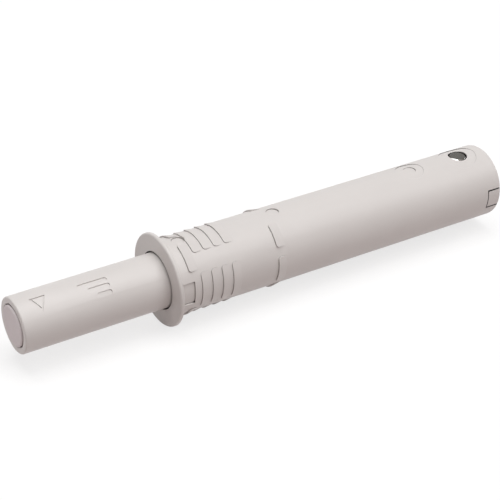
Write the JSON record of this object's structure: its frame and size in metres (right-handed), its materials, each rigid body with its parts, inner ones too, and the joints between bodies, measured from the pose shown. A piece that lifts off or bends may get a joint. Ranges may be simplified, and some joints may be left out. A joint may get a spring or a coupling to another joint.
{
  "type": "touch latch",
  "caption": "Drill-in push-to-open latch: a barbed round housing with a collar, and a sprung plunger with a soft tip that pushes a door or drawer open.",
  "frame": {"origin": "centre of the collar's back face, on the barrel's axis, where the latch seats on the panel", "axes": "+X along the barrel from the collar to the tail, the plunger towards -X, +Z on the side with the cross-hole"},
  "size_m": [0.0701, 0.012, 0.012],
  "materials": {
    "grey_plastic": "satin moulded, pale warm grey",
    "plunger_plastic": "satin moulded, pale warm grey",
    "bumper_rubber": "soft, matt, pale warm grey",
    "inner_plastic": "slippery natural white",
    "brake_rubber": "black rubber",
    "spring_steel": "drawn wire",
    "pin_steel": "dark plain steel"
  },
  "bodies": {
    "housing": {"housing": "grey_plastic", "end_plug": "grey_plastic", "pivot_pin": "pin_steel", "ejector_spring": "spring_steel"},
    "slider": {"cam_slider": "inner_plastic"},
    "brake": {"brake_ring": "brake_rubber"},
    "plunger": {"plunger_sleeve": "plunger_plastic", "tip_bumper": "bumper_rubber"},
    "follower": {"cam_follower": "spring_steel"}
  },
  "joints": [
    {"name": "plunger_slide", "type": "slide", "parent": "housing", "child": "slider", "axis": [1, 0, 0], "range_m": [0, 0.0185], "stiffness_N_per_m": 800, "springref_m": -0.006, "deforming": ["ejector_spring"]},
    {"name": "gap_travel", "type": "slide", "parent": "slider", "child": "brake", "axis": [1, 0, 0], "range_m": [-0.0015, 0.0015]},
    {"name": "gap_turn", "type": "hinge", "parent": "brake", "child": "plunger", "pos_m": [0, 0, 0], "axis": [1, 0, 0], "range_deg": [-180, 180]},
    {"name": "follower_swing", "type": "hinge", "parent": "housing", "child": "follower", "pos_m": [0.04585, 0, 0.00325], "axis": [0, 0, 1], "range_deg": [-6.19, 0]}
  ],
  "couplings": [
    {"joint": "gap_turn", "follows": "gap_travel", "rad_per_m": 2094.4}
  ]
}
